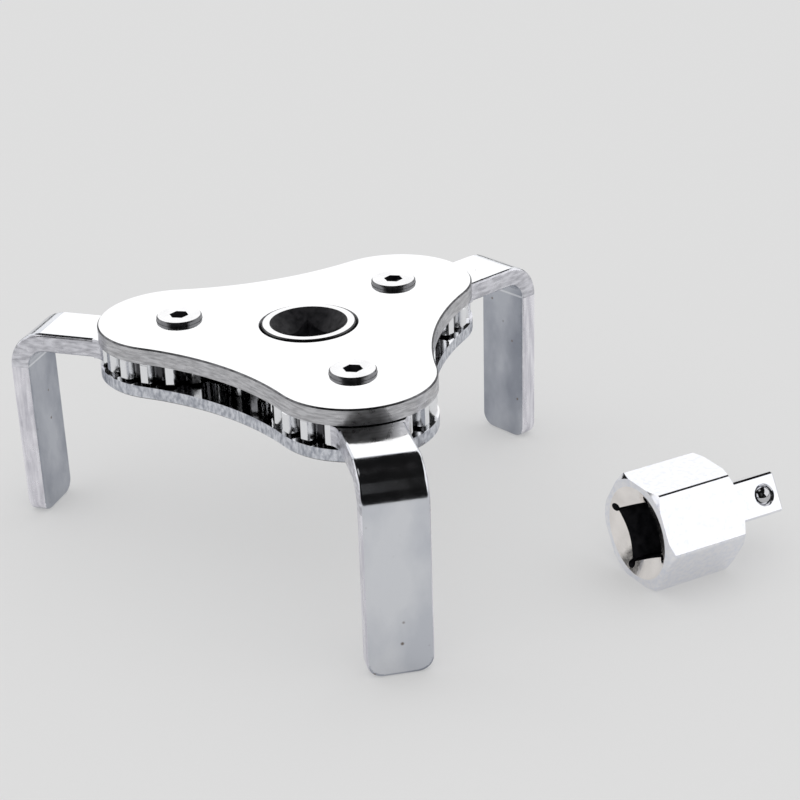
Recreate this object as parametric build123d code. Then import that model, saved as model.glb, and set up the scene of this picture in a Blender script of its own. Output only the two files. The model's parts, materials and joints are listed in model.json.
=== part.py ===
from build123d import *
import math
import os

# Three-jaw oil filter wrench with its loose square-drive adapter.
# Millimetres, +Z up.  The origin is on the drive axis, in the hub's top face, and +X points at jaw 1.
# Two lobed plates hold three geared jaws round a central drive gear: turning the drive closes the jaws.

# ---- Plates ----
JAW_COUNT = 3
PIVOT_R = 31.0              # drive axis to each jaw pivot
LOBE_OFFSET = 0.8           # lobe centre beyond its pivot
LOBE_R = 18.5               # radius of each lobe
WAIST_R = 71.0              # concave radius between two lobes
TOP_PLATE_T = 3.9
BOTTOM_PLATE_T = 3.1
PLATE_CHAMFER = 0.35        # broken outer edges

# ---- Gears ----
DRIVE_TEETH = 15            # divisible by the jaw count, so the three jaws are alike
JAW_TEETH = 19
PRESSURE_ANGLE = 20.0
ADDENDUM = 0.65             # stub teeth: height above the pitch circle, in modules
DEDENDUM = 0.95             # depth below the pitch circle, in modules
BACKLASH = 0.12             # taken off each tooth's thickness

# ---- Jaws ----
JAW_T = 4.8                 # thickness of the forged strip and of its gear
STRIP_W = 14.8
LEG_REACH = 41.9            # pivot to the leg's outer face, at the bend
JAW_HEIGHT = 48.7           # top of the strip to the tip of the leg
BEND_IN_R = 4.4             # inside radius of the bend
LEG_LEAN = 0.6              # the leg leans in towards its tip, in degrees
TIP_CORNER_R = 3.6
ROOT_FILLET_R = 4.0         # concave flare from gear to strip
ROOT_TEETH = 3              # tooth pitches taken up by the shoulder, an odd number
STRIP_EDGE_R = 0.85         # rounded edges of the arm and the leg
TOOTH_EDGE = 0.25           # broken edges round the gear's faces
OPEN_ANGLE = -8.0           # the jaws' angle from straight out, as the wrench stands open

# ---- Clearances ----
JAW_TOP_CLEARANCE = 0.25    # jaw to top plate
JAW_LOW_CLEARANCE = 0.05    # jaw to its thrust washer
RUNNING_CLEARANCE = 0.06    # radial, every turning fit
LOOSE_CLEARANCE = 0.2       # radial, every hole a screw passes

# ---- Pivots: socket screw, sleeve, thrust washer, split washer, nut ----
SCREW_R = 3.0
SCREW_HEAD_R = 5.35
SCREW_HEAD_T = 2.9
SCREW_HEAD_PROUD = 1.0
SCREW_HEX_AF = 4.0
SCREW_HEX_DEPTH = 1.9
SCREW_PAST_NUT = 0.6
HEAD_CHAMFER = 0.3
SLEEVE_WALL = 1.5
THRUST_WASHER_R = 9.0
THRUST_WASHER_T = 0.6
SPLIT_WASHER_R = 5.3
SPLIT_WASHER_T = 1.5
SPLIT_WASHER_GAP = 0.9
NUT_AF = 10.0
NUT_T = 3.2
NUT_TURN_ANGLE = 30.0       # slope of the nut's turned corners
THREAD_CLEARANCE = 0.02

# ---- Drive hub ----
HUB_R = 11.0                # boss in the top plate
HUB_PROUD = 0.4             # boss above the top plate
HUB_LOW_R = 9.8             # boss in the bottom plate
HUB_LOW_PROUD = 0.5
HUB_COLLAR_R = 11.6         # shoulder that carries the drive gear on the bottom plate
HUB_MOUTH_R = 9.1           # conical mouth of the socket
HUB_EDGE = 0.3
HOLE_CHAMFER = 0.6          # broken edge of the plate round the boss
HUB_SQUARE = 9.7            # nominal 3/8 inch square socket
HUB_GROOVE_R = 5.6          # ring groove for a detent ball
HUB_GROOVE_W = 2.6
HUB_GROOVE_DEPTH = 7.3      # mouth to the groove's middle

# ---- Adapter: 1/2 inch socket at one end, 3/8 inch square at the other ----
ADAPTER_AF = 24.4
ADAPTER_BODY_L = 20.9
ADAPTER_CORNER_OUT = 0.5    # the hexagon's corners are turned down to this beyond its flats, at both faces
ADAPTER_CORNER_L = 1.05
ADAPTER_EDGE_R = 0.9        # rounded long edges of the hexagon
ADAPTER_SOCKET = 12.8
ADAPTER_SOCKET_DEPTH = 16.5
ADAPTER_RIM = 1.3           # flat of the hexagon to the socket's conical mouth
ADAPTER_MOUTH_DEPTH = 2.0
ADAPTER_MOUTH_IN = 0.4      # the mouth narrows to this inside the socket's flats
CORNER_RELIEF_R = 1.0       # round relief cut past each corner of the socket
CORNER_RELIEF_OUT = 0.45    # relief centre beyond the corner
NECK_R = 6.3
NECK_L = 3.3
DRIVE_SQUARE = 9.53
DRIVE_L = 12.9
DRIVE_EDGE = 0.5
DRIVE_END = 0.7
DRIVE_END_TAPER = 40.0
ADAPTER_FACE_X = 22.05      # centre of the socket's face, beside the wrench
ADAPTER_FACE_Y = -77.05
ADAPTER_YAW = -21.6
ADAPTER_ROLL = 30.0         # turns a flat of the hexagon down to the floor
BALL_FACE_ANGLE = -120.0    # the ball's side of the squares is parallel to the hexagon's upper front flat

# ---- Detent ----
BALL_R = 2.5
BALL_PROUD = 0.75
BALL_FROM_END = 4.3
BALL_SIDE_GAP = 0.06
LIP_SHARE = 0.9             # radius of the staked lip that keeps the ball in, in ball radii
LIP_FLARE_SHARE = 1.08      # radius of the hole's mouth in the square's face, in ball radii
LIP_GAP = 0.03
POCKET_FLOOR = 1.3          # metal left under the spring
SPRING_WIRE = 0.4
SPRING_SIDE_GAP = 0.12

# ---- Worked out from the sizes above ----
MODULE = 2 * PIVOT_R / (DRIVE_TEETH + JAW_TEETH)
PLATE_GAP = JAW_TOP_CLEARANCE + JAW_T + JAW_LOW_CLEARANCE + THRUST_WASHER_T
TOP_FACE_Z = -HUB_PROUD
GAP_TOP_Z = TOP_FACE_Z - TOP_PLATE_T
GAP_LOW_Z = GAP_TOP_Z - PLATE_GAP
LOW_FACE_Z = GAP_LOW_Z - BOTTOM_PLATE_T
JAW_TOP_Z = GAP_TOP_Z - JAW_TOP_CLEARANCE
JAW_LOW_Z = JAW_TOP_Z - JAW_T
FLOOR_Z = JAW_TOP_Z - JAW_HEIGHT
SLEEVE_R = SCREW_R + LOOSE_CLEARANCE + SLEEVE_WALL
SCREW_HOLE_R = SCREW_R + LOOSE_CLEARANCE
JAW_TIP_R = (JAW_TEETH / 2 + ADDENDUM) * MODULE
JAW_FIRST_TOOTH = 180 / JAW_TEETH
LOBE_CENTRE_R = PIVOT_R + LOBE_OFFSET
ADAPTER_CORNER_R = ADAPTER_AF / 2 + ADAPTER_CORNER_OUT
ADAPTER_MOUTH_R = ADAPTER_AF / 2 - ADAPTER_RIM
LIP_R = BALL_R * LIP_SHARE
LIP_FLARE_R = BALL_R * LIP_FLARE_SHARE
PIVOT_ANGLES = [360 / JAW_COUNT * i for i in range(JAW_COUNT)]


def disc(radius, top, bottom):
    """A solid cylinder on the Z axis between two heights."""
    return Pos(0, 0, bottom) * Cylinder(radius, top - bottom, align=(Align.CENTER, Align.CENTER, Align.MIN))


def cone(top_radius, bottom_radius, top, bottom):
    """A solid cone frustum on the Z axis between two heights."""
    return Pos(0, 0, bottom) * Cone(
        bottom_radius, top_radius, top - bottom, align=(Align.CENTER, Align.CENTER, Align.MIN)
    )


def prism(sketch, top, bottom):
    """A flat outline raised between two heights."""
    return Pos(0, 0, bottom) * extrude(sketch, top - bottom)


def polar(radius, angle):
    """A point in the plane from its radius and its angle in degrees."""
    turn = math.radians(angle)
    return (radius * math.cos(turn), radius * math.sin(turn))


# ---- Plates ----
def plate_outline():
    """Three round lobes joined by long concave waists."""
    reach = WAIST_R + LOBE_R
    # Each waist's centre is the same reach from the lobes either side of it.
    half_apart = math.radians(180 / JAW_COUNT)
    to_chord = LOBE_CENTRE_R * math.cos(half_apart)
    waist_centre_r = to_chord + math.sqrt(reach**2 - (LOBE_CENTRE_R * math.sin(half_apart)) ** 2)
    # Half the angle that each lobe's arc spans about its own centre.
    waist_x, waist_y = polar(waist_centre_r, 180 / JAW_COUNT)
    half_span = math.degrees(math.atan2(waist_y, waist_x - LOBE_CENTRE_R))
    edges = []
    for angle in PIVOT_ANGLES:
        lobe = Pos(*polar(LOBE_CENTRE_R, angle)) * Rot(0, 0, angle)
        ends = [lobe * Pos(*polar(LOBE_R, side)) for side in (-half_span, 0, half_span)]
        edges.append(ThreePointArc(*[end.position for end in ends]))
    for i, lobe_arc in enumerate(edges[:]):
        middle = polar(waist_centre_r - WAIST_R, PIVOT_ANGLES[i] + 180 / JAW_COUNT)
        following = edges[(i + 1) % JAW_COUNT]
        edges.append(ThreePointArc(lobe_arc @ 1, middle, following @ 0))
    return make_face(edges)


def at_pivots(shape):
    """A copy of a shape at each jaw pivot, turned to face outwards."""
    return [Rot(0, 0, angle) * Pos(PIVOT_R, 0, 0) * shape for angle in PIVOT_ANGLES]


def top_plate():
    plate = prism(plate_outline(), TOP_FACE_Z, GAP_TOP_Z)
    plate = chamfer(plate.faces().sort_by(Axis.Z)[-1].outer_wire().edges(), PLATE_CHAMFER)
    plate -= disc(HUB_R + RUNNING_CLEARANCE, TOP_FACE_Z + 1, GAP_TOP_Z - 1)
    hole_r = HUB_R + RUNNING_CLEARANCE
    plate -= cone(hole_r + HOLE_CHAMFER, hole_r, TOP_FACE_Z, TOP_FACE_Z - HOLE_CHAMFER)
    seat_z = TOP_FACE_Z + SCREW_HEAD_PROUD - SCREW_HEAD_T
    seat = disc(SCREW_HEAD_R + LOOSE_CLEARANCE / 2, TOP_FACE_Z + 1, seat_z)
    for cut in at_pivots(seat + disc(SCREW_HOLE_R, TOP_FACE_Z, GAP_TOP_Z - 1)):
        plate -= cut
    return plate


def bottom_plate():
    plate = prism(plate_outline(), GAP_LOW_Z, LOW_FACE_Z)
    plate = chamfer(plate.faces().sort_by(Axis.Z)[0].outer_wire().edges(), PLATE_CHAMFER)
    plate -= disc(HUB_LOW_R + RUNNING_CLEARANCE, GAP_LOW_Z + 1, LOW_FACE_Z - 1)
    for cut in at_pivots(disc(SCREW_HOLE_R, GAP_LOW_Z + 1, LOW_FACE_Z - 1)):
        plate -= cut
    return plate


# ---- Gears ----
def tooth_half_angle(radius, teeth):
    """Half the angle that an involute tooth fills at a radius, in degrees."""
    pitch_r = teeth * MODULE / 2
    base_r = pitch_r * math.cos(math.radians(PRESSURE_ANGLE))
    at_pitch = (math.pi * MODULE / 2 - BACKLASH) / (2 * pitch_r)
    pressure = math.radians(PRESSURE_ANGLE)
    here = math.acos(min(1.0, base_r / radius))
    return math.degrees(at_pitch + math.tan(pressure) - pressure - math.tan(here) + here)


def gear_outline(teeth, first_tooth):
    """An involute gear with round gullets; one tooth's middle is at the angle first_tooth."""
    pitch_r = teeth * MODULE / 2
    tip_r = pitch_r + ADDENDUM * MODULE
    base_r = pitch_r * math.cos(math.radians(PRESSURE_ANGLE))
    root_r = pitch_r - DEDENDUM * MODULE
    radii = (base_r, (base_r + tip_r) / 2, tip_r)
    halves = [tooth_half_angle(radius, teeth) for radius in radii]
    edges = []
    for i in range(teeth):
        middle = first_tooth + 360 / teeth * i
        rising = [polar(r, middle - half) for r, half in zip(radii, halves)]
        falling = [polar(r, middle + half) for r, half in zip(radii, halves)]
        next_flank = polar(base_r, middle + 360 / teeth - halves[0])
        edges.append(ThreePointArc(*rising))
        edges.append(ThreePointArc(rising[2], polar(tip_r, middle), falling[2]))
        edges.append(ThreePointArc(*reversed(falling)))
        edges.append(ThreePointArc(falling[0], polar(root_r, middle + 180 / teeth), next_flank))
    return make_face(edges)


def break_tooth_edges(gear, tip_r, top, bottom):
    """Cone cuts that take the sharp corners off a gear's two faces."""
    outside = tip_r + 2
    ring = disc(outside, top, bottom)
    keep = disc(tip_r + 0.01, top - TOOTH_EDGE, bottom + TOOTH_EDGE)
    keep += cone(tip_r - TOOTH_EDGE, tip_r + 0.01, top, top - TOOTH_EDGE)
    keep += cone(tip_r + 0.01, tip_r - TOOTH_EDGE, bottom + TOOTH_EDGE, bottom)
    return gear - (ring - keep)


def drive_gear():
    """The central gear, its bosses and the square socket through it."""
    # The jaw's tooth nearest the drive axis, measured from the line to its pivot, sits in a gap.
    nearest_tooth = JAW_FIRST_TOOTH + OPEN_ANGLE + (JAW_TEETH // 2) * 360 / JAW_TEETH
    gap = (180 - nearest_tooth) * JAW_TEETH / DRIVE_TEETH
    teeth = prism(gear_outline(DRIVE_TEETH, gap + 180 / DRIVE_TEETH), JAW_TOP_Z, JAW_LOW_Z)
    tip_r = (DRIVE_TEETH / 2 + ADDENDUM) * MODULE
    gear = break_tooth_edges(teeth, tip_r, JAW_TOP_Z, JAW_LOW_Z)
    gear += disc(HUB_R, -HUB_EDGE, JAW_TOP_Z)
    gear += cone(HUB_R - HUB_EDGE, HUB_R, 0, -HUB_EDGE)
    gear += disc(HUB_COLLAR_R, JAW_LOW_Z, GAP_LOW_Z + JAW_LOW_CLEARANCE)
    low_z = LOW_FACE_Z - HUB_LOW_PROUD
    gear += disc(HUB_LOW_R, GAP_LOW_Z + JAW_LOW_CLEARANCE, low_z + HUB_EDGE)
    gear += cone(HUB_LOW_R, HUB_LOW_R - HUB_EDGE, low_z + HUB_EDGE, low_z)
    gear -= prism(Rectangle(HUB_SQUARE, HUB_SQUARE), 1, low_z - 1)
    # The mouth narrows at 45 degrees until it is as wide as the square.
    mouth_depth = HUB_MOUTH_R - HUB_SQUARE / 2
    gear -= cone(HUB_MOUTH_R, HUB_SQUARE / 2, 0, -mouth_depth)
    groove_z = -HUB_GROOVE_DEPTH
    gear -= disc(HUB_GROOVE_R, groove_z + HUB_GROOVE_W / 2, groove_z - HUB_GROOVE_W / 2)
    return gear


# ---- Jaws ----
def jaw_strip():
    """The flat arm and its bent leg, as a side view pulled across the strip's width."""
    lean = math.tan(math.radians(LEG_LEAN)) * JAW_HEIGHT
    outer = [(0, JAW_TOP_Z), (LEG_REACH, JAW_TOP_Z), (LEG_REACH - lean, FLOOR_Z)]
    inner = [(LEG_REACH - lean - JAW_T, FLOOR_Z), (LEG_REACH - JAW_T, JAW_LOW_Z), (0, JAW_LOW_Z)]
    side = Plane.XZ * make_face(Polyline(*outer, *inner, close=True))
    strip = extrude(side, STRIP_W / 2, both=True)
    across = strip.edges().filter_by(Axis.Y)
    outer_bend = across.sort_by(lambda e: (e.center() - Vector(LEG_REACH, 0, JAW_TOP_Z)).length)[0]
    strip = fillet(outer_bend, BEND_IN_R + JAW_T)
    across = strip.edges().filter_by(Axis.Y)
    inner_bend = across.sort_by(lambda e: (e.center() - Vector(LEG_REACH - JAW_T, 0, JAW_LOW_Z)).length)[0]
    strip = fillet(inner_bend, BEND_IN_R)
    corners = [e for e in strip.edges().filter_by(Axis.Y, reverse=True) if is_tip_corner(e)]
    strip = fillet(corners, TIP_CORNER_R)
    return fillet([e for e in strip.edges() if is_strip_edge(e)], STRIP_EDGE_R)


def is_tip_corner(edge):
    """The two short edges through the strip's thickness at the leg's tip."""
    return abs(edge.center().Z - FLOOR_Z) < 1e-3 and edge.length < JAW_T * 1.1


def is_strip_edge(edge):
    """The long edges down both sides of the strip, and those that go on round its tip."""
    middle = edge @ 0.5
    at_side = abs(edge.position_at(0).Y - edge.position_at(1).Y) < 1e-3 and abs(middle.Y) > STRIP_W / 2 - 1e-3
    through = abs(edge.length - JAW_T) < 0.1
    at_tip = middle.Z < FLOOR_Z + TIP_CORNER_R - 1e-3
    return middle.X > 1e-3 and not through and (at_side or at_tip)


def jaw_root():
    """The toothless shoulder that the strip grows from, with a concave flare each side."""
    half_span = ROOT_TEETH * 180 / JAW_TEETH
    shoulder = make_face(
        [
            ThreePointArc(polar(JAW_TIP_R, -half_span), (JAW_TIP_R, 0), polar(JAW_TIP_R, half_span)),
            Line(polar(JAW_TIP_R, half_span), (0, 0)),
            Line((0, 0), polar(JAW_TIP_R, -half_span)),
        ]
    )
    flare_y = STRIP_W / 2 + ROOT_FILLET_R
    flare_x = math.sqrt((JAW_TIP_R + ROOT_FILLET_R) ** 2 - flare_y**2)
    touch = JAW_TIP_R / (JAW_TIP_R + ROOT_FILLET_R)
    outline = [(flare_x * touch, flare_y * touch), (flare_x, STRIP_W / 2)]
    mirrored = [(x, -y) for x, y in reversed(outline)]
    flare = make_face(Polyline((0, 0), *outline, *mirrored, close=True))
    for side in (1, -1):
        flare -= Pos(flare_x, side * flare_y) * Circle(ROOT_FILLET_R)
    return shoulder + flare


def jaw():
    """One jaw with its pivot on the Z axis and its arm along +X, midway between two teeth."""
    teeth = prism(gear_outline(JAW_TEETH, JAW_FIRST_TOOTH), JAW_TOP_Z, JAW_LOW_Z)
    body = break_tooth_edges(teeth, JAW_TIP_R, JAW_TOP_Z, JAW_LOW_Z)
    body += prism(jaw_root(), JAW_TOP_Z, JAW_LOW_Z)
    body += jaw_strip()
    return body - disc(SLEEVE_R + RUNNING_CLEARANCE, JAW_TOP_Z + 1, JAW_LOW_Z - 1)


# ---- Pivots ----
def pivot_screw():
    head_top = TOP_FACE_Z + SCREW_HEAD_PROUD
    head_low = head_top - SCREW_HEAD_T
    end_z = LOW_FACE_Z - SPLIT_WASHER_T - NUT_T - SCREW_PAST_NUT
    screw = disc(SCREW_HEAD_R, head_top - HEAD_CHAMFER, head_low)
    screw += cone(SCREW_HEAD_R - HEAD_CHAMFER, SCREW_HEAD_R, head_top, head_top - HEAD_CHAMFER)
    screw += disc(SCREW_R, head_low, end_z + HEAD_CHAMFER)
    screw += cone(SCREW_R, SCREW_R - HEAD_CHAMFER, end_z + HEAD_CHAMFER, end_z)
    hexagon = RegularPolygon(SCREW_HEX_AF / 2, 6, major_radius=False)
    return screw - prism(hexagon, head_top + 1, head_top - SCREW_HEX_DEPTH)


def pivot_sleeve():
    return disc(SLEEVE_R, GAP_TOP_Z, GAP_LOW_Z) - disc(SCREW_HOLE_R, GAP_TOP_Z + 1, GAP_LOW_Z - 1)


def thrust_washer():
    washer = disc(THRUST_WASHER_R, GAP_LOW_Z + THRUST_WASHER_T, GAP_LOW_Z)
    return washer - disc(SLEEVE_R + RUNNING_CLEARANCE, GAP_LOW_Z + 2, GAP_LOW_Z - 1)


def split_washer():
    low_z = LOW_FACE_Z - SPLIT_WASHER_T
    washer = disc(SPLIT_WASHER_R, LOW_FACE_Z, low_z) - disc(SCREW_HOLE_R, LOW_FACE_Z + 1, low_z - 1)
    slit = Box(SPLIT_WASHER_R * 2, SPLIT_WASHER_GAP, SPLIT_WASHER_T * 3)
    return washer - Pos(SPLIT_WASHER_R + SCREW_R / 2, 0, LOW_FACE_Z) * slit


def pivot_nut():
    top_z = LOW_FACE_Z - SPLIT_WASHER_T
    low_z = top_z - NUT_T
    corner_r = NUT_AF / math.sqrt(3)
    nut = prism(RegularPolygon(NUT_AF / 2, 6, major_radius=False), top_z, low_z)
    # The corners of the lower face are turned down to a circle as wide as the flats.
    fall = (corner_r - NUT_AF / 2) * math.tan(math.radians(NUT_TURN_ANGLE))
    turned = cone(corner_r, NUT_AF / 2, low_z + fall, low_z) + disc(corner_r, top_z, low_z + fall)
    nut &= turned
    return nut - disc(SCREW_R + THREAD_CLEARANCE, top_z + 1, low_z - 1)


# ---- Adapter, drawn with its axis along +Z and its socket's face at height 0 ----
def place_adapter(shape):
    """Lays the adapter on the floor beside the wrench, one flat of its hexagon down."""
    centre = (ADAPTER_FACE_X, ADAPTER_FACE_Y, FLOOR_Z + ADAPTER_AF / 2)
    return Pos(*centre) * Rot(0, 0, ADAPTER_YAW) * Rot(0, 90, 0) * shape


def ball_centre():
    """Height of the ball along the adapter, and its distance from the adapter's axis."""
    height = ADAPTER_BODY_L + NECK_L + DRIVE_L - BALL_FROM_END
    return height, DRIVE_SQUARE / 2 + BALL_PROUD - BALL_R


def from_ball(shape):
    """Moves a shape drawn along +Z from the ball's middle to its place in the drive square."""
    height, out = ball_centre()
    return Rot(0, 0, BALL_FACE_ANGLE) * Pos(out, 0, height) * Rot(0, 90, 0) * shape


def adapter_body():
    corner_r = ADAPTER_AF / math.sqrt(3)
    hexagon = RegularPolygon(ADAPTER_AF / 2, 6, major_radius=False, rotation=ADAPTER_ROLL)
    hexagon = fillet(hexagon.vertices(), ADAPTER_EDGE_R)
    body = prism(hexagon, ADAPTER_BODY_L, 0)
    turned = cone(ADAPTER_CORNER_R, corner_r, ADAPTER_BODY_L, ADAPTER_BODY_L - ADAPTER_CORNER_L)
    turned += disc(corner_r, ADAPTER_BODY_L - ADAPTER_CORNER_L, ADAPTER_CORNER_L)
    turned += cone(corner_r, ADAPTER_CORNER_R, ADAPTER_CORNER_L, 0)
    body &= turned
    neck_z = ADAPTER_BODY_L + NECK_L
    body += disc(NECK_R, neck_z, ADAPTER_BODY_L)
    square = Rot(0, 0, BALL_FACE_ANGLE) * Rectangle(DRIVE_SQUARE, DRIVE_SQUARE)
    square = chamfer(square.vertices(), DRIVE_EDGE)
    end_z = neck_z + DRIVE_L - DRIVE_END
    body += prism(square, end_z, neck_z)
    body += Pos(0, 0, end_z) * extrude(square, DRIVE_END, taper=DRIVE_END_TAPER)
    socket = Rectangle(ADAPTER_SOCKET, ADAPTER_SOCKET)
    relief_r = ADAPTER_SOCKET / math.sqrt(2) + CORNER_RELIEF_OUT
    for corner in range(4):
        socket += Pos(*polar(relief_r, 45 + 90 * corner)) * Circle(CORNER_RELIEF_R)
    body -= prism(Rot(0, 0, BALL_FACE_ANGLE) * socket, ADAPTER_SOCKET_DEPTH, -1)
    body -= cone(ADAPTER_SOCKET / 2 - ADAPTER_MOUTH_IN, ADAPTER_MOUTH_R, ADAPTER_MOUTH_DEPTH, 0)
    pocket = disc(BALL_R + BALL_SIDE_GAP, lip_low(), pocket_floor())
    face = BALL_R - BALL_PROUD
    pocket += disc(LIP_R, face, lip_low())
    pocket += cone(LIP_FLARE_R, LIP_R, face + LIP_GAP, face - (LIP_FLARE_R - LIP_R))
    return place_adapter(body - from_ball(pocket))


def lip_low():
    """Underside of the staked lip, measured outwards from the ball's middle."""
    return math.sqrt(BALL_R**2 - LIP_R**2) + LIP_GAP


def pocket_floor():
    """Floor of the detent's pocket, measured outwards from the ball's middle."""
    out = ball_centre()[1]
    return POCKET_FLOOR - DRIVE_SQUARE / 2 - out


def detent_ball():
    return place_adapter(from_ball(Sphere(BALL_R)))


def detent_spring():
    """The closed outer shape of the detent's small coil spring."""
    outer_r = BALL_R + BALL_SIDE_GAP - SPRING_SIDE_GAP
    inner_r = outer_r - SPRING_WIRE
    seat = -math.sqrt(BALL_R**2 - inner_r**2) - LIP_GAP
    spring = disc(outer_r, seat, pocket_floor()) - disc(inner_r, seat + 1, pocket_floor() - 1)
    return place_adapter(from_ball(spring))


nodes = {
    "top_plate": top_plate(),
    "bottom_plate": bottom_plate(),
    "drive_gear": drive_gear(),
    "adapter_body": adapter_body(),
    "detent_ball": detent_ball(),
    "detent_spring": detent_spring(),
}
one_jaw = Rot(0, 0, OPEN_ANGLE) * jaw()
for number, placed in enumerate(at_pivots(one_jaw), 1):
    nodes[f"jaw_{number}"] = placed
pivot_pieces = {
    "pivot_screw": pivot_screw(),
    "pivot_sleeve": pivot_sleeve(),
    "thrust_washer": thrust_washer(),
    "split_washer": split_washer(),
    "pivot_nut": pivot_nut(),
}
for name, piece in pivot_pieces.items():
    for number, placed in enumerate(at_pivots(piece), 1):
        nodes[f"{name}_{number}"] = placed

os.makedirs("parts", exist_ok=True)
for name, shape in nodes.items():
    export_step(shape, f"parts/{name}.step")
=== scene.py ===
import json
from math import pi, radians

import bmesh
import bpy
from mathutils import Euler, Matrix, Vector


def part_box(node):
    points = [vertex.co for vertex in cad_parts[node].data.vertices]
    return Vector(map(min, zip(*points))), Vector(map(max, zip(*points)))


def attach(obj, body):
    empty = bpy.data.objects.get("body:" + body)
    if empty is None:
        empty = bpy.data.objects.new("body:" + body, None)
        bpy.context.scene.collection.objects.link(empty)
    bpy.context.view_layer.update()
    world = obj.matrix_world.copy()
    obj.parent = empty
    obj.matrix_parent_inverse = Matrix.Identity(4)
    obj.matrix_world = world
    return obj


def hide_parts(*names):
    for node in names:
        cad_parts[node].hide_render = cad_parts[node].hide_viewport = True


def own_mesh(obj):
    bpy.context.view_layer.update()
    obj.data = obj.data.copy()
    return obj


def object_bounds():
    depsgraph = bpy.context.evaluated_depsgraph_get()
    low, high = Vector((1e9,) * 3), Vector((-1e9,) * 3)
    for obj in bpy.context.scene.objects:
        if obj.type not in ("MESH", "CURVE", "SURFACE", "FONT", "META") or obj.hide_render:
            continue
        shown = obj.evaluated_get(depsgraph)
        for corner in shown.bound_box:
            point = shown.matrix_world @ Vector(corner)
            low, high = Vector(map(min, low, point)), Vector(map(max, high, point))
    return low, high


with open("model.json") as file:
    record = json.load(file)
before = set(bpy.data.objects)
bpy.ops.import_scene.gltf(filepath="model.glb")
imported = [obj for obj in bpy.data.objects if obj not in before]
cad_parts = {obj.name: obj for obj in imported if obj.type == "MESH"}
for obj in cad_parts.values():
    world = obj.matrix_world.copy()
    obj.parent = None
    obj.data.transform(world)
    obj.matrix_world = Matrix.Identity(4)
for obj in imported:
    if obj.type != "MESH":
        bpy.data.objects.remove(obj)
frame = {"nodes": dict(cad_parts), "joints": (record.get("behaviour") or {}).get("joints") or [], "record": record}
cad_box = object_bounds()

# ---- Plates ----
# Two lobed steel plates, laser cut and chrome plated, that hold the gears between them.  Their faces were
# polished to a mirror before plating.  Their cut edges were only linished, so they stay satin, with streaks.


def new_material(name, colour, roughness, metallic=1.0):
    """A material with a plain shader.  Returns it, its node tree and its shader."""
    material = bpy.data.materials.new(name)
    material.use_nodes = True
    tree = material.node_tree
    shader = tree.nodes["Principled BSDF"]
    shader.inputs["Base Color"].default_value = (*colour, 1)
    shader.inputs["Roughness"].default_value = roughness
    shader.inputs["Metallic"].default_value = metallic
    return material, tree, shader


def grain(tree, scale, stretch=(1, 1, 1), detail=3, turn=(0, 0, 0)):
    """Noise in the piece's own space, scale in grains to the metre, drawn out along an axis by stretch."""
    place = tree.nodes.new("ShaderNodeTexCoord")
    mapping = tree.nodes.new("ShaderNodeMapping")
    mapping.inputs["Scale"].default_value = stretch
    mapping.inputs["Rotation"].default_value = [radians(angle) for angle in turn]
    noise = tree.nodes.new("ShaderNodeTexNoise")
    noise.inputs["Scale"].default_value = scale
    noise.inputs["Detail"].default_value = detail
    tree.links.new(place.outputs["Object"], mapping.inputs["Vector"])
    tree.links.new(mapping.outputs["Vector"], noise.inputs["Vector"])
    return noise.outputs["Fac"]


def between(tree, value, low, high, start=0.3, end=0.7):
    """A pattern brought from its usual spread to lie between two values."""
    spread = tree.nodes.new("ShaderNodeMapRange")
    spread.inputs["From Min"].default_value = start
    spread.inputs["From Max"].default_value = end
    spread.inputs["To Min"].default_value = low
    spread.inputs["To Max"].default_value = high
    tree.links.new(value, spread.inputs["Value"])
    return spread.outputs["Result"]


def tint(tree, shader, value, dark, light, start=0.3, end=0.7):
    """Colours a surface between two tones of its metal, following a pattern."""
    ramp = tree.nodes.new("ShaderNodeValToRGB")
    ramp.color_ramp.elements[0].position = start
    ramp.color_ramp.elements[0].color = (*dark, 1)
    ramp.color_ramp.elements[1].position = end
    ramp.color_ramp.elements[1].color = (*light, 1)
    tree.links.new(value, ramp.inputs["Fac"])
    tree.links.new(ramp.outputs["Color"], shader.inputs["Base Color"])
    return ramp


def relief(tree, shader, value, depth, under=None):
    """Raises a surface by a pattern, depth in metres.  under is a relief that lies beneath it."""
    bump = tree.nodes.new("ShaderNodeBump")
    bump.inputs["Strength"].default_value = 1.0
    bump.inputs["Distance"].default_value = depth
    tree.links.new(value, bump.inputs["Height"])
    if under:
        tree.links.new(under, bump.inputs["Normal"])
    tree.links.new(bump.outputs["Normal"], shader.inputs["Normal"])
    return bump.outputs["Normal"]


def mirror_chrome(name):
    """Chrome over a polished face: handling marks in the gloss and a trace of ripple."""
    material, tree, shader = new_material(name, (0.93, 0.935, 0.945), 0.05)
    wiped = grain(tree, 45, (1, 2.6, 1), 4, (0, 0, 35))
    tree.links.new(between(tree, wiped, 0.035, 0.10), shader.inputs["Roughness"])
    tint(tree, shader, grain(tree, 20), (0.91, 0.915, 0.93), (0.95, 0.95, 0.955))
    relief(tree, shader, grain(tree, 160, detail=2), 1.2e-6)
    return material


def linished_chrome(name, dark, light, along, depth):
    """Chrome over a belt-ground edge: streaks round the edge, blotches, and small nicks."""
    material, tree, shader = new_material(name, light, 0.32)
    streaks = grain(tree, 330, along, 6)
    tint(tree, shader, streaks, dark, light, 0.36, 0.62)
    tree.links.new(between(tree, grain(tree, 520, detail=5), 0.2, 0.46), shader.inputs["Roughness"])
    ripple = relief(tree, shader, streaks, depth)
    relief(tree, shader, grain(tree, 1500, detail=2), depth * 0.4, ripple)
    return material


def paint(node, finishes, choose=None):
    """Gives a CAD node its named finishes.  choose names one for each face, from its middle and normal."""
    mesh = frame["nodes"][node].data
    mesh.materials.clear()
    for material in finishes.values():
        mesh.materials.append(material)
    if choose:
        names = list(finishes)
        for face in mesh.polygons:
            face.material_index = names.index(choose(face.center, face.normal))


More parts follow.
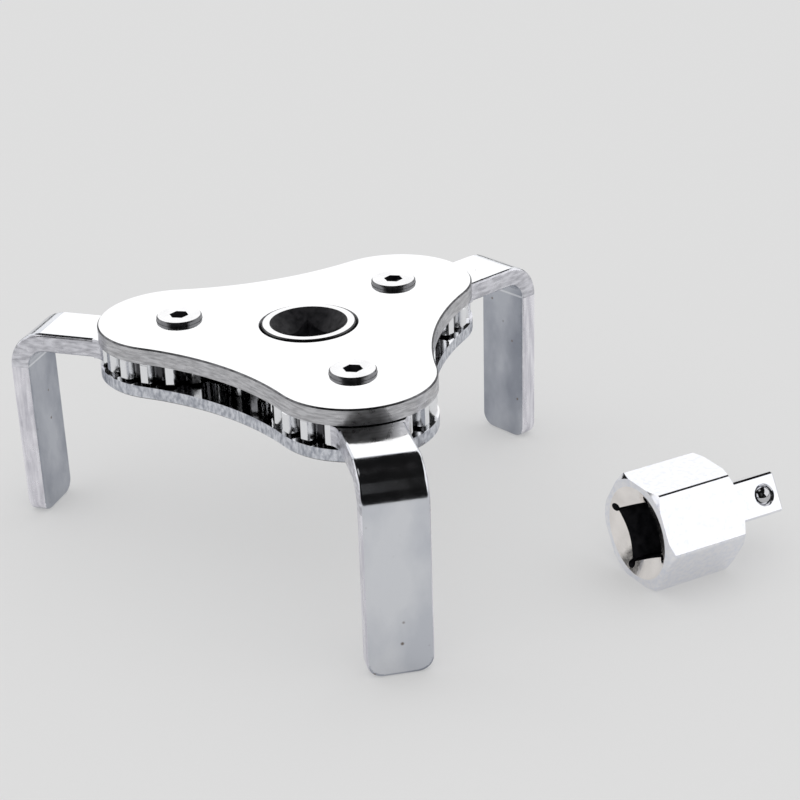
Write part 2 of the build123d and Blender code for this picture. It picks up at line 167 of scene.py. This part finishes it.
def painted_shade_bevel(name):
    """The narrow bevel filed round a plate, coloured dark as painted shade for the dark room it mirrors."""
    material, tree, shader = new_material(name, (0.13, 0.13, 0.135), 0.3)
    tint(tree, shader, grain(tree, 700, detail=4), (0.07, 0.07, 0.075), (0.2, 0.2, 0.21))
    relief(tree, shader, grain(tree, 1200, detail=3), 4e-6)
    return material


level = 0.95  # a face is level when its normal rises at least this steeply
upright = 0.2  # and upright when its normal rises less than this


def plate_part(centre, normal):
    """A plate's level faces, its upright edge, or its bevels."""
    if abs(normal.z) > level:
        return "face"
    return "edge" if abs(normal.z) < upright else "bevel"


# The plates' narrow bevels carry painted shade: a dark colour for the dark they mirror.
plate_face = mirror_chrome("plate_mirror_chrome")
plate_bevel_painted_shade = painted_shade_bevel("plate_bevel_painted_shade")
top_edge = linished_chrome(
    "top_plate_edge", dark=(0.4, 0.4, 0.415), light=(0.62, 0.62, 0.64), along=(1, 1, 7), depth=7e-6
)
low_edge = linished_chrome(
    "bottom_plate_edge", dark=(0.38, 0.4, 0.45), light=(0.72, 0.74, 0.79), along=(3.5, 3.5, 2), depth=1.6e-5
)
paint("top_plate", {"face": plate_face, "edge": top_edge, "bevel": plate_bevel_painted_shade}, plate_part)
paint("bottom_plate", {"face": plate_face, "edge": low_edge, "bevel": plate_bevel_painted_shade}, plate_part)

# ---- Drive gear and hub ----
# One turned and hobbed steel piece on the drive axis.  Its boss fills the hole in the top plate and carries
# the square socket.  It is chromed outside; the broached bore keeps the black of its heat treatment.


def satin_chrome(name, colour, roughness, depth):
    """Chrome over a fine machined surface: soft gloss with a close grain."""
    material, tree, shader = new_material(name, colour, roughness)
    fine = grain(tree, 1300, detail=4)
    darker = [0.86 * tone for tone in colour]
    tint(tree, shader, grain(tree, 170, detail=5), darker, colour)
    tree.links.new(between(tree, fine, roughness * 0.75, roughness * 1.3), shader.inputs["Roughness"])
    relief(tree, shader, fine, depth)
    return material


def out_from(tree, centres):
    """Distance from the nearest of some upright axes, in metres."""
    place = tree.nodes.new("ShaderNodeTexCoord")
    nearest = None
    for centre in centres:
        gap = tree.nodes.new("ShaderNodeVectorMath")
        gap.operation = "SUBTRACT"
        gap.inputs[1].default_value = centre
        tree.links.new(place.outputs["Object"], gap.inputs[0])
        flattened = tree.nodes.new("ShaderNodeVectorMath")
        flattened.operation = "MULTIPLY"
        flattened.inputs[1].default_value = (1, 1, 0)
        tree.links.new(gap.outputs[0], flattened.inputs[0])
        length = tree.nodes.new("ShaderNodeVectorMath")
        length.operation = "LENGTH"
        tree.links.new(flattened.outputs[0], length.inputs[0])
        if nearest is None:
            nearest = length.outputs["Value"]
            continue
        smaller = tree.nodes.new("ShaderNodeMath")
        smaller.operation = "MINIMUM"
        tree.links.new(nearest, smaller.inputs[0])
        tree.links.new(length.outputs["Value"], smaller.inputs[1])
        nearest = smaller.outputs[0]
    return nearest


def turned_chrome(name, colour, roughness, ring_pitch, centres):
    """Chrome over a lathe-turned face: fine rings round the nearest of the centres."""
    material, tree, shader = new_material(name, colour, roughness)
    rings = tree.nodes.new("ShaderNodeMath")
    rings.operation = "SINE"
    scaled = tree.nodes.new("ShaderNodeMath")
    scaled.operation = "MULTIPLY"
    scaled.inputs[1].default_value = 2 * pi / ring_pitch
    tree.links.new(out_from(tree, centres), scaled.inputs[0])
    tree.links.new(scaled.outputs[0], rings.inputs[0])
    tint(tree, shader, grain(tree, 240, detail=5), [0.88 * tone for tone in colour], colour)
    ripple = relief(tree, shader, rings.outputs[0], 2.5e-6)
    relief(tree, shader, grain(tree, 1500), 3e-6, ripple)
    return material


def tooth_chrome_painted_gullet_shade(name, centres, root, tip):
    """Chrome on gear teeth: bright on the tips, with painted shade darkening it down into the gullets."""
    material, tree, shader = new_material(name, (0.84, 0.85, 0.88), 0.16)
    depth = between(tree, out_from(tree, centres), 0, 1, root, tip)
    # Painted shade: the colour runs from bright at the tips to near black at the roots.
    tint(tree, shader, depth, (0.06, 0.06, 0.065), (0.86, 0.87, 0.89), 0.1, 0.6)
    fine = grain(tree, 1300, detail=4)
    tree.links.new(between(tree, fine, 0.12, 0.24), shader.inputs["Roughness"])
    relief(tree, shader, fine, 7e-6)
    return material


def black_oxide(name):
    """Bare heat-treated steel with its thin black oxide, slightly oily."""
    material, tree, shader = new_material(name, (0.012, 0.012, 0.014), 0.38, 0.2)
    shader.inputs["Specular IOR Level"].default_value = 0.2
    tint(tree, shader, grain(tree, 600, detail=6), (0.006, 0.006, 0.008), (0.03, 0.029, 0.033))
    tree.links.new(between(tree, grain(tree, 900, detail=4), 0.28, 0.55), shader.inputs["Roughness"])
    relief(tree, shader, grain(tree, 1100, detail=3), 8e-6)
    return material


mouth_radius = 0.0092  # just beyond the socket's conical mouth
inward = 1e-6  # a face of the bore points at least this much towards the axis
collar_radius = 0.0117  # just beyond the shoulder that the teeth stand on


def hub_part(centre, normal):
    """Face of the boss, its outside, the teeth, or the bore and its mouth."""
    across = Vector((centre.x, centre.y))
    faces_inwards = across.dot(Vector((normal.x, normal.y))) < -inward
    if normal.z < level and faces_inwards and across.length < mouth_radius:
        return "bore"
    if across.length > collar_radius:
        return "teeth"
    return "face" if abs(normal.z) > level else "side"


drive_axis = (0, 0, 0)
hub_face = turned_chrome("hub_turned_face", (0.93, 0.93, 0.94), 0.16, 0.00045, [drive_axis])
# Painted shade: the boss's upright side is the same chrome as its face, coloured near black.
hub_side_painted_shade = satin_chrome("hub_side_painted_shade", (0.09, 0.09, 0.092), 0.3, 4e-6)
# Its teeth carry painted shade, dark towards the roots.
drive_tooth = tooth_chrome_painted_gullet_shade("drive_teeth_painted_gullet_shade", [drive_axis], root=0.0119, tip=0.0148)
bore_black = black_oxide("bore_black_oxide")
hub_finishes = {"face": hub_face, "side": hub_side_painted_shade, "teeth": drive_tooth, "bore": bore_black}
paint("drive_gear", hub_finishes, hub_part)

# ---- Jaws ----
# Each jaw is one forging: a toothed quadrant, a flat arm, and a leg bent down at its end.  It was blasted and
# chrome plated, so the leg has a satin skin with small pits.  Its inside is less polished, and painted darker as
# shade.


pits_per_metre = 190
pit_middle = 0.04


def forged_chrome(name, dark, light, smooth, rough, peel, pits):
    """Chrome over a blasted forging: cloudy tone, orange peel, and a few pits of a given width."""
    material, tree, shader = new_material(name, light, smooth)
    clouds = grain(tree, 85, (1, 1, 0.6), 5)
    ramp = tint(tree, shader, clouds, dark, light, 0.34, 0.6)
    place = tree.nodes.new("ShaderNodeTexCoord")
    cells = tree.nodes.new("ShaderNodeTexVoronoi")
    cells.inputs["Scale"].default_value = pits_per_metre
    cells.inputs["Randomness"].default_value = 1
    tree.links.new(place.outputs["Object"], cells.inputs["Vector"])
    # A pit is the middle of a cell: 1 at its centre, 0 at its rim.
    pit = between(tree, cells.outputs["Distance"], 1, 0, pit_middle, pits)
    mix = tree.nodes.new("ShaderNodeMix")
    mix.data_type = "RGBA"
    mix.inputs["B"].default_value = (0.2, 0.17, 0.15, 1)
    tree.links.new(pit, mix.inputs["Factor"])
    tree.links.new(ramp.outputs["Color"], mix.inputs["A"])
    tree.links.new(mix.outputs["Result"], shader.inputs["Base Color"])
    gloss = between(tree, grain(tree, 300, detail=5), smooth, rough)
    tree.links.new(gloss, shader.inputs["Roughness"])
    skin = relief(tree, shader, grain(tree, 330, detail=3), peel)
    skin = relief(tree, shader, grain(tree, 1700, detail=2), peel * 0.3, skin)
    relief(tree, shader, between(tree, cells.outputs["Distance"], 0, 1, pit_middle, pits), peel, skin)
    return material


jaw_low, jaw_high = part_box("jaw_1")
bend_height = 0.0092  # the bend's share of the jaw, down from its top
quadrant_radius = 0.0187
arm_root = (0.0182, 0.0175)  # where the arm grows out: beyond the teeth, and along the arm
sideways = 0.7  # how far a normal turns to one side, in from the leg, down, or up, to count as that
facing_in = 0.5
facing_down = 0.1
flat_top = 0.995
leg_skin = forged_chrome(
    "leg_satin_chrome",
    dark=(0.58, 0.6, 0.65),
    light=(0.71, 0.725, 0.76),
    smooth=0.09,
    rough=0.17,
    peel=5e-6,
    pits=0.1,
)
# Painted shade: the leg's inside is the same chrome as its outside, coloured darker.
leg_inside_painted_shade = forged_chrome(
    "leg_inside_painted_shade_chrome",
    dark=(0.3, 0.32, 0.37),
    light=(0.5, 0.52, 0.57),
    smooth=0.12,
    rough=0.22,
    peel=6e-6,
    pits=0.08,
)
strip_face = forged_chrome(
    "arm_bright_chrome",
    dark=(0.86, 0.87, 0.89),
    light=(0.94, 0.94, 0.95),
    smooth=0.06,
    rough=0.14,
    peel=2.5e-6,
    pits=0.05,
)
arm_side = linished_chrome(
    "arm_side", dark=(0.5, 0.5, 0.54), light=(0.78, 0.78, 0.83), along=(1, 1, 4), depth=5e-6
)
leg_side = linished_chrome(
    "leg_side", dark=(0.66, 0.65, 0.71), light=(0.92, 0.91, 0.96), along=(2.4, 2.4, 0.25), depth=7e-6
)


def jaw_part(pivot, arm):
    """Sorts a jaw's faces: level top, bend and leg outside, sides, teeth, and inside."""
    across_strip = Vector((-arm.y, arm.x, 0))

    def part(centre, normal):
        reach = Vector((centre.x - pivot.x, centre.y - pivot.y, 0))
        at_arm_root = reach.length > arm_root[0] and reach.dot(arm) > arm_root[1]
        if reach.length < quadrant_radius and not at_arm_root:
            return "teeth" if abs(normal.z) < level else "top"
        below_bend = centre.z < jaw_high.z - bend_height
        if abs(normal.dot(across_strip)) > sideways:
            return "leg side" if below_bend else "arm side"
        if normal.z < -facing_down or (below_bend and normal.dot(arm) < -facing_in):
            return "inside"
        return "top" if normal.z > flat_top else "outside"

    return part


jaw_joints = {joint["child"]: joint for joint in frame["joints"] if joint["name"].endswith("_swing")}
pivots = [Vector(joint["pos_m"]) for joint in jaw_joints.values()]
# The jaws' teeth carry painted shade, dark towards the roots.
jaw_tooth = tooth_chrome_painted_gullet_shade("jaw_teeth_painted_gullet_shade", pivots, root=0.0156, tip=0.0184)
tip_depth = 0.0005
for jaw, joint in jaw_joints.items():
    pivot = Vector(joint["pos_m"])
    # The leg's tip is the lowest ring of the jaw: its middle gives the arm's direction.
    mesh = frame["nodes"][jaw].data
    tip = [vertex.co for vertex in mesh.vertices if vertex.co.z < jaw_low.z + tip_depth]
    middle = sum(tip, Vector()) / len(tip)
    arm = Vector((middle.x - pivot.x, middle.y - pivot.y, 0)).normalized()
    jaw_finishes = {
        "top": strip_face,
        "outside": leg_skin,
        "arm side": arm_side,
        "teeth": jaw_tooth,
        "leg side": leg_side,
        "inside": leg_inside_painted_shade,
    }
    paint(jaw, jaw_finishes, jaw_part(pivot, arm))

# ---- Pivots ----
# A socket-head screw, chromed with a black hexagon socket, holds each jaw.  Under the bottom plate it has a
# split washer and a nut, zinc plated.  Between the plates a ground sleeve and a thin washer carry the jaw.


def zinc(name):
    """Bright zinc plating: pale, slightly blue, and cloudy."""
    material, tree, shader = new_material(name, (0.62, 0.64, 0.67), 0.34)
    tint(tree, shader, grain(tree, 420, detail=6), (0.47, 0.49, 0.52), (0.72, 0.74, 0.77))
    tree.links.new(between(tree, grain(tree, 800, detail=4), 0.25, 0.45), shader.inputs["Roughness"])
    relief(tree, shader, grain(tree, 1200, detail=4), 6e-6)
    return material


head_face = turned_chrome("screw_head_face", (0.92, 0.92, 0.93), 0.2, 0.0005, pivots)
# Painted shade: the head's side is the same chrome as its top, coloured dark.
head_side_painted_shade = satin_chrome("screw_head_side_painted_shade", (0.22, 0.22, 0.23), 0.3, 4e-6)
socket_black = black_oxide("screw_socket_black")
zinc_plate = zinc("zinc_plating")
ground = satin_chrome("ground_steel", (0.6, 0.59, 0.58), 0.3, 5e-6)
screw_finishes = {"face": head_face, "socket": socket_black, "side": head_side_painted_shade, "shank": zinc_plate}


socket_radius = 0.0024  # just beyond the hexagon's corners
socket_rim = 0.00001  # just below the head's top
socket_floor = 0.0022  # just below the socket, down from the head's top
head_depth = 0.004  # just below the head


def screw_part(pivot, head_top):
    """Sorts a screw's faces: the turned top, the socket, the head's side, and the shank."""

    def part(centre, normal):
        out = Vector((centre.x - pivot.x, centre.y - pivot.y))
        down = head_top - centre.z
        if out.length < socket_radius and socket_rim < down < socket_floor:
            return "socket"
        if down > head_depth:
            return "shank"
        return "face" if normal.z > level else "side"

    return part


for number, pivot in enumerate(pivots, 1):
    head_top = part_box(f"pivot_screw_{number}")[1].z
    paint(f"pivot_screw_{number}", screw_finishes, screw_part(pivot, head_top))
    paint(f"pivot_nut_{number}", {"all": zinc_plate})
    paint(f"split_washer_{number}", {"all": zinc_plate})
    paint(f"pivot_sleeve_{number}", {"all": ground})
    paint(f"thrust_washer_{number}", {"all": ground})

# ---- Adapter ----
# A loose piece that turns a 1/2 inch drive into a 3/8 inch one: a hexagon with a square socket, and a small
# square at the other end.  It is chromed all over, rather thickly, but its broached socket stays black.


def thick_chrome(name, colour, peel):
    """Heavy chrome: bright, with the gentle orange peel of the polished bar beneath."""
    material, tree, shader = new_material(name, colour, 0.1)
    tint(tree, shader, grain(tree, 900, detail=4), (0.8, 0.82, 0.89), colour, 0.3, 0.62)
    tree.links.new(between(tree, grain(tree, 260, detail=4), 0.07, 0.17), shader.inputs["Roughness"])
    skin = relief(tree, shader, grain(tree, 420, detail=2), peel)
    relief(tree, shader, grain(tree, 1900, detail=2), peel * 0.2, skin)
    return material


adapter_chrome = thick_chrome("adapter_chrome", (0.9, 0.9, 0.925), 6e-6)
mouth_chrome = satin_chrome("adapter_mouth", (0.97, 0.93, 0.9), 0.12, 4e-6)
socket_oxide = black_oxide("adapter_socket_black")
socket_mount = next(mount for mount in frame["record"]["mounts"] if mount["name"] == "adapter_socket")
face_middle = Vector(socket_mount["pos_m"])
into = -Vector(socket_mount["axis"])


socket_end = 0.0175  # just past the socket's floor
socket_reach = 0.0112  # just beyond the mouth's rim
floor_start = 0.016  # deeper than this, the floor belongs to the socket too
mouth_depth = 0.006
slant = 0.3  # the mouth's cone leans at least this much towards the axis


def adapter_part(centre, normal):
    """Sorts the adapter's faces: outside, conical mouth, and the socket behind it."""
    deep = (centre - face_middle).dot(into)
    out = (centre - face_middle) - deep * into
    inwards = out.dot(normal) < 0
    if deep < socket_end and out.length < socket_reach and (inwards or deep > floor_start):
        slanting = abs(normal.dot(into)) > slant
        return "mouth" if slanting and deep < mouth_depth else "socket"
    return "outside"


adapter_finishes = {"outside": adapter_chrome, "mouth": mouth_chrome, "socket": socket_oxide}
paint("adapter_body", adapter_finishes, adapter_part)

# ---- Detent ----
# A polished bearing ball stands out of the small square and holds the socket it is pushed into.  Behind it,
# inside the square, a coil spring wound from hard-drawn wire pushes it out.

ball_steel = satin_chrome("ball_polished_steel", (0.6, 0.6, 0.62), 0.09, 1e-6)
paint("detent_ball", {"all": ball_steel})
ball_low, ball_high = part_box("detent_ball")
spring_low, spring_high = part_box("detent_spring")
ball_middle = (ball_low + ball_high) / 2
spring_axis = ((spring_low + spring_high) / 2 - ball_middle).normalized()
tube = [vertex.co - ball_middle for vertex in frame["nodes"]["detent_spring"].data.vertices]
near_end = min(spring_axis.dot(point) for point in tube)
far_end = max(spring_axis.dot(point) for point in tube)
tube_radius = max((point - spring_axis.dot(point) * spring_axis).length for point in tube)
wire_radius = 0.0002
coil_radius = tube_radius - wire_radius
coil_turns = 3
steps_per_turn = 28
wire_sides = 10
coil = bmesh.new()
wire = bmesh.ops.create_circle(coil, segments=wire_sides, radius=wire_radius)
on_edge = Matrix.Rotation(radians(90), 4, "X")
wire_start = Matrix.Translation((coil_radius, 0, near_end + wire_radius)) @ on_edge
bmesh.ops.transform(coil, matrix=wire_start, verts=wire["verts"])
climb = (far_end - near_end - 2 * wire_radius) / (coil_turns * steps_per_turn)
bmesh.ops.spin(
    coil,
    geom=coil.verts[:] + coil.edges[:],
    axis=(0, 0, 1),
    angle=2 * pi * coil_turns,
    steps=coil_turns * steps_per_turn,
    dvec=(0, 0, climb),
)
bmesh.ops.holes_fill(coil, edges=[edge for edge in coil.edges if edge.is_boundary])
turned = spring_axis.to_track_quat("Z", "Y").to_matrix().to_4x4()
bmesh.ops.transform(coil, matrix=Matrix.Translation(ball_middle) @ turned, verts=coil.verts)
bmesh.ops.recalc_face_normals(coil, faces=coil.faces)
for face in coil.faces:
    face.smooth = True
coil_mesh = bpy.data.meshes.new("detent_coil")
coil.to_mesh(coil_mesh)
coil.free()
detent_coil = bpy.data.objects.new("detent_coil", coil_mesh)
bpy.context.scene.collection.objects.link(detent_coil)
coil_mesh.materials.append(satin_chrome("spring_wire", (0.45, 0.45, 0.47), 0.3, 2e-6))
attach(detent_coil, "adapter")
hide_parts("detent_spring")
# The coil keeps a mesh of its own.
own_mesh(detent_coil)

# ---- Floor ----
# A plain pale table top, wide enough to fill the view.  It lies just under the feet of the jaws.

floor_reach = 3
gap_under_feet = 0.00002
floor_height = cad_box[0][2] - gap_under_feet
floor_shape = bmesh.new()
bmesh.ops.create_grid(floor_shape, x_segments=2, y_segments=2, size=floor_reach)
bmesh.ops.translate(floor_shape, verts=floor_shape.verts, vec=(0, 0, floor_height))
floor_mesh = bpy.data.meshes.new("floor")
floor_shape.to_mesh(floor_mesh)
floor_shape.free()
floor = bpy.data.objects.new("floor", floor_mesh)
bpy.context.scene.collection.objects.link(floor)
# It is a lit sheet, so that shadows stay faint.
sheet, _, sheet_shader = new_material("pale_lit_sheet", (0.45, 0.45, 0.45), 0.9, 0.0)
sheet_shader.inputs["Specular IOR Level"].default_value = 0.0
sheet_shader.inputs["Emission Color"].default_value = (1, 1, 1, 1)
sheet_shader.inputs["Emission Strength"].default_value = 0.32
floor_mesh.materials.append(sheet)

# ---- Studio light ----
# Three wide white panels stand behind and at each side, for the chrome to mirror.  A smaller panel hangs
# overhead, and a dim one stands beside the camera.  They light no floor: the white surround does that.


panel_distance = 1.5


def panel(name, azimuth, elevation, width, height, brightness):
    """A softbox that faces the object, at a compass angle and a height angle seen from it."""
    light = bpy.data.lights.new(name, "AREA")
    light.shape = "RECTANGLE"
    light.size = width
    light.size_y = height
    # The power that gives the panel this brightness, from its area.
    light.energy = brightness * pi * width * height
    lamp = bpy.data.objects.new(name, light)
    bpy.context.scene.collection.objects.link(lamp)
    turn = Euler((radians(90 - elevation), 0, radians(azimuth + 90))).to_matrix().to_4x4()
    lamp.matrix_world = turn @ Matrix.Translation((0, 0, panel_distance))
    lamp.visible_camera = False
    lamp.visible_diffuse = False


panel("back_panel", 40, 22, width=2.3, height=0.98, brightness=1.15)
panel("right_panel", -46, 25, width=2.2, height=1.25, brightness=1.2)
panel("left_panel", 124, 25, width=2.2, height=1.25, brightness=1.1)
panel("overhead_panel", 150, 84, width=0.5, height=0.5, brightness=0.6)
panel("camera_panel", -128, 40, width=0.5, height=0.7, brightness=0.07)

world = bpy.data.worlds.new("studio")
bpy.context.scene.world = world
world.use_nodes = True
nodes, links = world.node_tree.nodes, world.node_tree.links
surround = nodes["Background"]
surround.inputs["Color"].default_value = (1, 1, 1, 1)
ray = nodes.new("ShaderNodeLightPath")
# Reflections see a nearly black room, and everything else sees the white surround.
room = nodes.new("ShaderNodeMix")
room.inputs["A"].default_value = 0.92
room.inputs["B"].default_value = 0.009
links.new(ray.outputs["Is Glossy Ray"], room.inputs["Factor"])
links.new(room.outputs["Result"], surround.inputs["Strength"])

# ---- Camera ----
# A long lens, a little above the wrench and in front of its nearest leg.

aim = Vector((0.0073, -0.0208, -0.01735))
camera_azimuth = -49.77
camera_elevation = 24.85
camera_roll = -2.04
camera_distance = 0.4926
lens = bpy.data.cameras.new("camera")
lens.lens = 95.37
lens.sensor_width = 36
lens.clip_start = 0.01
camera = bpy.data.objects.new("camera", lens)
bpy.context.scene.collection.objects.link(camera)
tilt = Matrix.Rotation(radians(90 - camera_elevation), 4, "X")
look = Matrix.Rotation(radians(camera_azimuth), 4, "Z") @ tilt
back = look @ Vector((0, 0, camera_distance))
roll = Matrix.Rotation(radians(camera_roll), 4, "Z")
camera.matrix_world = Matrix.Translation(aim + back) @ look @ roll
bpy.context.scene.camera = camera
bpy.context.scene.view_settings.view_transform = "Standard"
